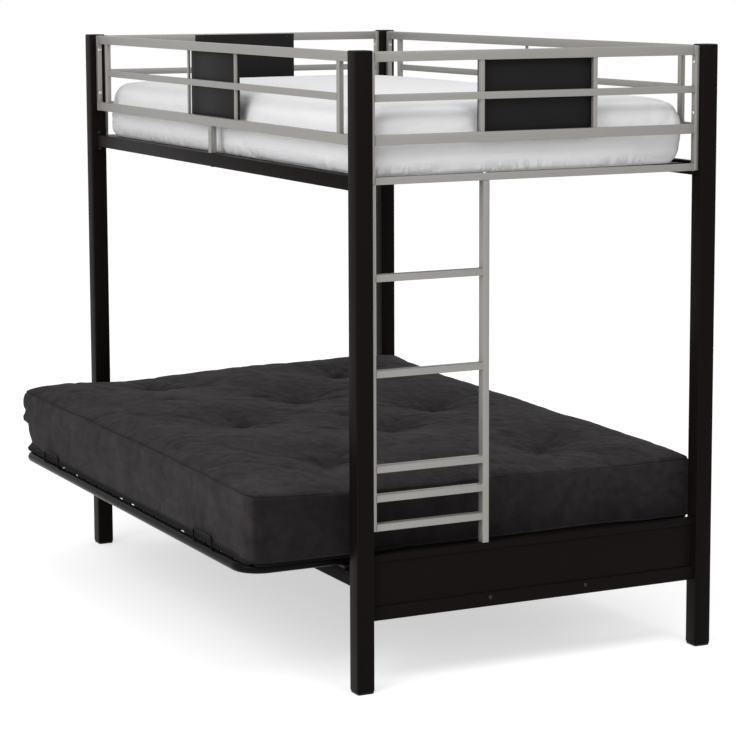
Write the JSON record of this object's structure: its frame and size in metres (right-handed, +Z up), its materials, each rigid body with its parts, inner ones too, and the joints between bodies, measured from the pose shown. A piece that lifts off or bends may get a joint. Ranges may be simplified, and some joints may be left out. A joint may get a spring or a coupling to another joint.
{
  "type": "futon bunk bed",
  "caption": "Steel bunk bed with a guarded upper bunk, an end ladder and a lower futon that slides and folds from bed to sofa.",
  "frame": {"origin": "on the floor, under the middle of the whole outline with the futon laid flat", "axes": "+X along the bed to the ladder end, +Y from the futon's front edge to the back, +Z up"},
  "size_m": [1.994, 1.377, 1.677],
  "materials": {
    "black_paint": "satin",
    "panel_paint": "matte",
    "silver_paint": "satin",
    "black_plastic": "matte",
    "black_fastener": "satin",
    "zinc_steel": "satin",
    "white_cotton": "matte",
    "charcoal_suede": "matte"
  },
  "bodies": {
    "bunk_frame": {"post_front_ladder": "black_paint", "post_front_far": "black_paint", "post_back_ladder": "black_paint", "post_back_far": "black_paint", "post_caps": "black_plastic", "post_glides": "black_plastic", "ladder_end_frame": "silver_paint", "far_end_frame": "silver_paint", "ladder_end_uprights": "silver_paint", "far_end_uprights": "silver_paint", "ladder_end_panel": "panel_paint", "far_end_panel": "panel_paint", "front_guard": "silver_paint", "back_guard": "silver_paint", "front_guard_panel": "panel_paint", "front_side_rail": "black_paint", "back_side_rail": "black_paint", "deck_slats": "black_paint", "top_mattress": "white_cotton", "ladder_stiles": "silver_paint", "ladder_rungs": "silver_paint", "lower_end_frame_ladder": "black_paint", "lower_end_frame_far": "black_paint", "kick_panel_ladder": "black_paint", "kick_panel_far": "black_paint", "front_stretcher": "black_paint", "back_stretcher": "black_paint", "stretcher_glides": "black_plastic", "guide_plate_ladder": "black_paint", "guide_plate_far": "black_paint", "guide_spacers": "zinc_steel", "guide_bolts": "black_fastener", "guard_bolts": "black_fastener", "end_frame_bolts": "black_fastener", "side_rail_bolts": "black_fastener", "stretcher_bolts": "black_fastener", "lower_frame_bolts": "black_fastener", "ladder_screws": "zinc_steel", "ladder_bolts": "black_fastener", "panel_screws": "black_fastener", "centre_post_bolts": "black_fastener"},
    "seat_deck": {"seat_frame_ladder": "black_paint", "seat_frame_far": "black_paint", "seat_wires": "black_paint", "mattress_stops": "black_paint", "hinge_pins": "zinc_steel", "seat_rollers": "black_plastic", "futon_seat": "charcoal_suede", "futon_fold": "charcoal_suede"},
    "back_deck": {"back_frame_ladder": "black_paint", "back_frame_far": "black_paint", "back_wires": "black_paint", "crank_plates": "black_paint", "crank_pins": "zinc_steel", "crank_rollers": "black_plastic", "futon_back": "charcoal_suede"}
  },
  "joints": [
    {"name": "seat_slide", "type": "slide", "parent": "bunk_frame", "child": "seat_deck", "axis": [0, 1, 0], "range_m": [0, 0.28]},
    {"name": "back_fold", "type": "hinge", "parent": "seat_deck", "child": "back_deck", "pos_m": [0, -0.0045, 0.34], "axis": [1, 0, 0], "range_deg": [0, 75], "deforming": ["futon_fold"]}
  ],
  "couplings": [
    {"joint": "back_fold", "follows": "seat_slide", "rad_per_m": 4.675}
  ]
}
